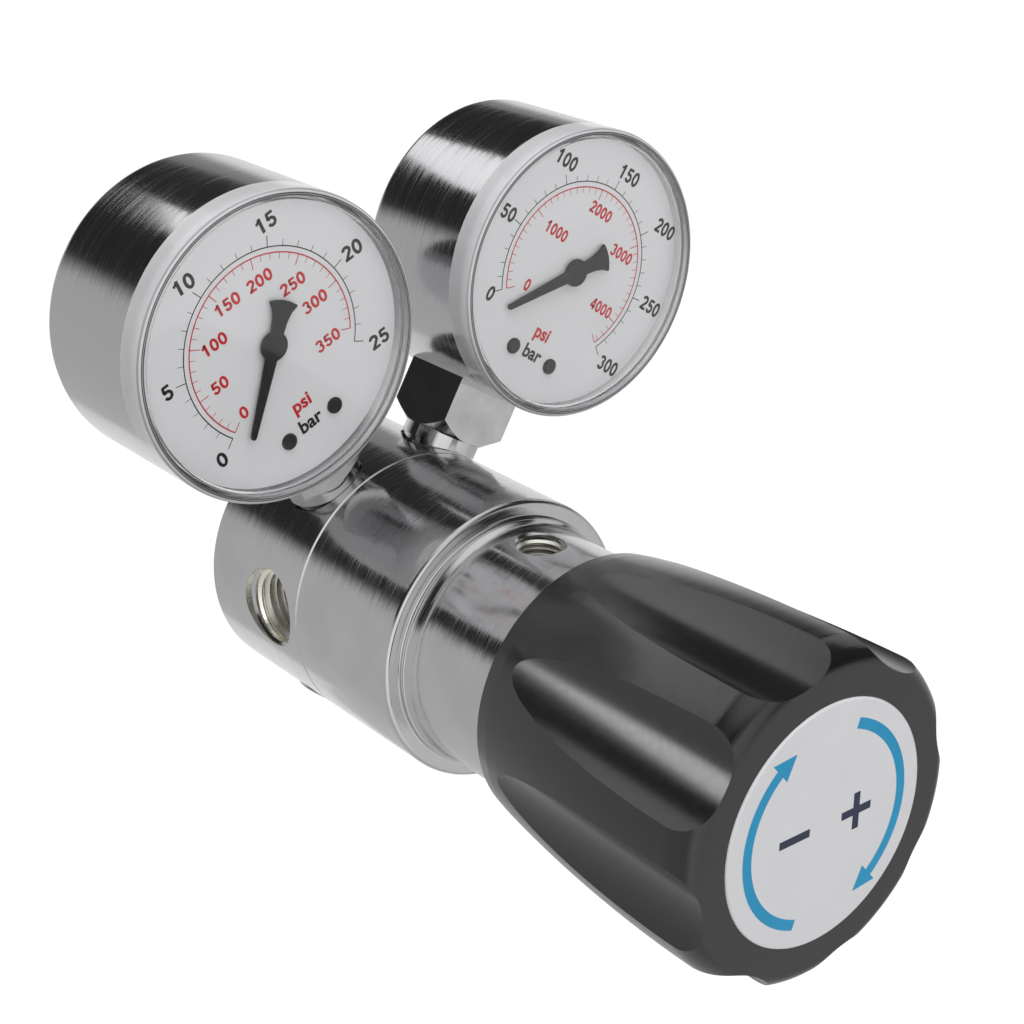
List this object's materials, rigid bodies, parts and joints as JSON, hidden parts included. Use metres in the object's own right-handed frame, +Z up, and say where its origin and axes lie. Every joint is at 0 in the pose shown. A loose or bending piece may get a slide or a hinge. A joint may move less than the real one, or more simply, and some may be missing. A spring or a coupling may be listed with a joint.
{
  "type": "line pressure regulator",
  "caption": "Stainless diaphragm pressure regulator with a fluted black hand knob, side ports and dial gauges on square stems",
  "frame": {"origin": "centre of the flat rear face, on the body's axis, midway between the two mounting holes", "axes": "Y runs along the body's axis with the knob and the dials towards -Y, Z is up, X is to the right seen from the front"},
  "size_m": [0.1098, 0.1236, 0.1038],
  "materials": {
    "stainless": "fine brushed",
    "bright_steel": "bright turned and ground",
    "spring_steel": "drawn wire, oiled",
    "zinc_steel": "zinc plated",
    "brass": "machined",
    "bronze": "sintered or drawn",
    "seat_plastic": "machined",
    "rubber": "moulded",
    "knob_plastic": "satin moulded",
    "label_plastic": "satin printed foil",
    "clear_plastic": "clear moulded",
    "dial_enamel": "satin printed",
    "black_enamel": "satin"
  },
  "bodies": {
    "regulator": {"body": "stainless", "bonnet": "stainless", "inlet_filter": "bronze", "valve_seat": "seat_plastic", "seat_retainer": "stainless", "retainer_seal": "rubber", "poppet_spring": "spring_steel", "diaphragm": "stainless", "thrust_ring": "stainless", "range_spring": "spring_steel", "port_plugs": "bright_steel", "outlet_gauge_case": "stainless", "outlet_gauge_lens": "clear_plastic", "outlet_gauge_dial": "dial_enamel", "outlet_gauge_dial_screws": "black_enamel", "outlet_gauge_movement_frame": "brass", "outlet_gauge_bourdon_tube": "bronze", "outlet_gauge_stem": "bright_steel", "outlet_gauge_blowout_plug": "rubber", "outlet_gauge_case_screws": "zinc_steel", "inlet_gauge_case": "stainless", "inlet_gauge_lens": "clear_plastic", "inlet_gauge_dial": "dial_enamel", "inlet_gauge_dial_screws": "black_enamel", "inlet_gauge_movement_frame": "brass", "inlet_gauge_bourdon_tube": "bronze", "inlet_gauge_stem": "bright_steel", "inlet_gauge_blowout_plug": "rubber", "inlet_gauge_case_screws": "zinc_steel"},
    "range_slide": {"spring_button": "zinc_steel", "thrust_ball": "bright_steel"},
    "knob_body": {"knob": "knob_plastic", "knob_insert": "brass", "knob_screw": "zinc_steel", "label_cap": "label_plastic", "adjusting_screw": "stainless"},
    "valve": {"poppet": "stainless", "diaphragm_plate": "zinc_steel"},
    "outlet_gauge_hand": {"outlet_gauge_pointer": "black_enamel", "outlet_gauge_pinion": "brass"},
    "outlet_gauge_sector_gear": {"outlet_gauge_sector": "brass"},
    "outlet_gauge_link_rod": {"outlet_gauge_link": "brass"},
    "inlet_gauge_hand": {"inlet_gauge_pointer": "black_enamel", "inlet_gauge_pinion": "brass"},
    "inlet_gauge_sector_gear": {"inlet_gauge_sector": "brass"},
    "inlet_gauge_link_rod": {"inlet_gauge_link": "brass"}
  },
  "joints": [
    {"name": "knob_turn", "type": "hinge", "parent": "range_slide", "child": "knob_body", "pos_m": [0, -0.1, 0], "axis": [0, 1, 0], "range_deg": [0, 2161]},
    {"name": "screw_travel", "type": "slide", "parent": "regulator", "child": "range_slide", "axis": [0, 1, 0], "range_m": [0, 0.006], "deforming": ["range_spring"]},
    {"name": "valve_lift", "type": "slide", "parent": "regulator", "child": "valve", "axis": [0, 1, 0], "range_m": [0, 0.00051], "deforming": ["poppet_spring", "diaphragm"]},
    {"name": "outlet_gauge_pointer_turn", "type": "hinge", "parent": "regulator", "child": "outlet_gauge_hand", "pos_m": [-0.03015, -0.0326, 0.05222], "axis": [0, 1, 0], "range_deg": [0, 265], "stiffness_Nm_per_rad": 0.00002},
    {"name": "outlet_gauge_sector_turn", "type": "hinge", "parent": "regulator", "child": "outlet_gauge_sector_gear", "pos_m": [-0.02167, -0.0277, 0.04211], "axis": [0, 1, 0], "range_deg": [-26.6, 0]},
    {"name": "outlet_gauge_link_turn", "type": "hinge", "parent": "outlet_gauge_sector_gear", "child": "outlet_gauge_link_rod", "pos_m": [-0.01699, -0.0282, 0.04662], "axis": [0, 1, 0], "range_deg": [0, 26.6]},
    {"name": "inlet_gauge_pointer_turn", "type": "hinge", "parent": "regulator", "child": "inlet_gauge_hand", "pos_m": [0.03015, -0.0326, 0.05222], "axis": [0, 1, 0], "range_deg": [0, 265], "stiffness_Nm_per_rad": 0.00002},
    {"name": "inlet_gauge_sector_turn", "type": "hinge", "parent": "regulator", "child": "inlet_gauge_sector_gear", "pos_m": [0.02564, -0.0277, 0.03982], "axis": [0, 1, 0], "range_deg": [-26.6, 0]},
    {"name": "inlet_gauge_link_turn", "type": "hinge", "parent": "inlet_gauge_sector_gear", "child": "inlet_gauge_link_rod", "pos_m": [0.03188, -0.0282, 0.03803], "axis": [0, 1, 0], "range_deg": [0, 26.6]}
  ],
  "couplings": [
    {"joint": "knob_turn", "follows": "screw_travel", "rad_per_m": 6283.2},
    {"joint": "valve_lift", "follows": "screw_travel", "ratio": 0.083333},
    {"joint": "outlet_gauge_sector_turn", "follows": "outlet_gauge_pointer_turn", "ratio": -0.1},
    {"joint": "outlet_gauge_link_turn", "follows": "outlet_gauge_pointer_turn", "ratio": 0.1},
    {"joint": "inlet_gauge_sector_turn", "follows": "inlet_gauge_pointer_turn", "ratio": -0.1},
    {"joint": "inlet_gauge_link_turn", "follows": "inlet_gauge_pointer_turn", "ratio": 0.1}
  ]
}
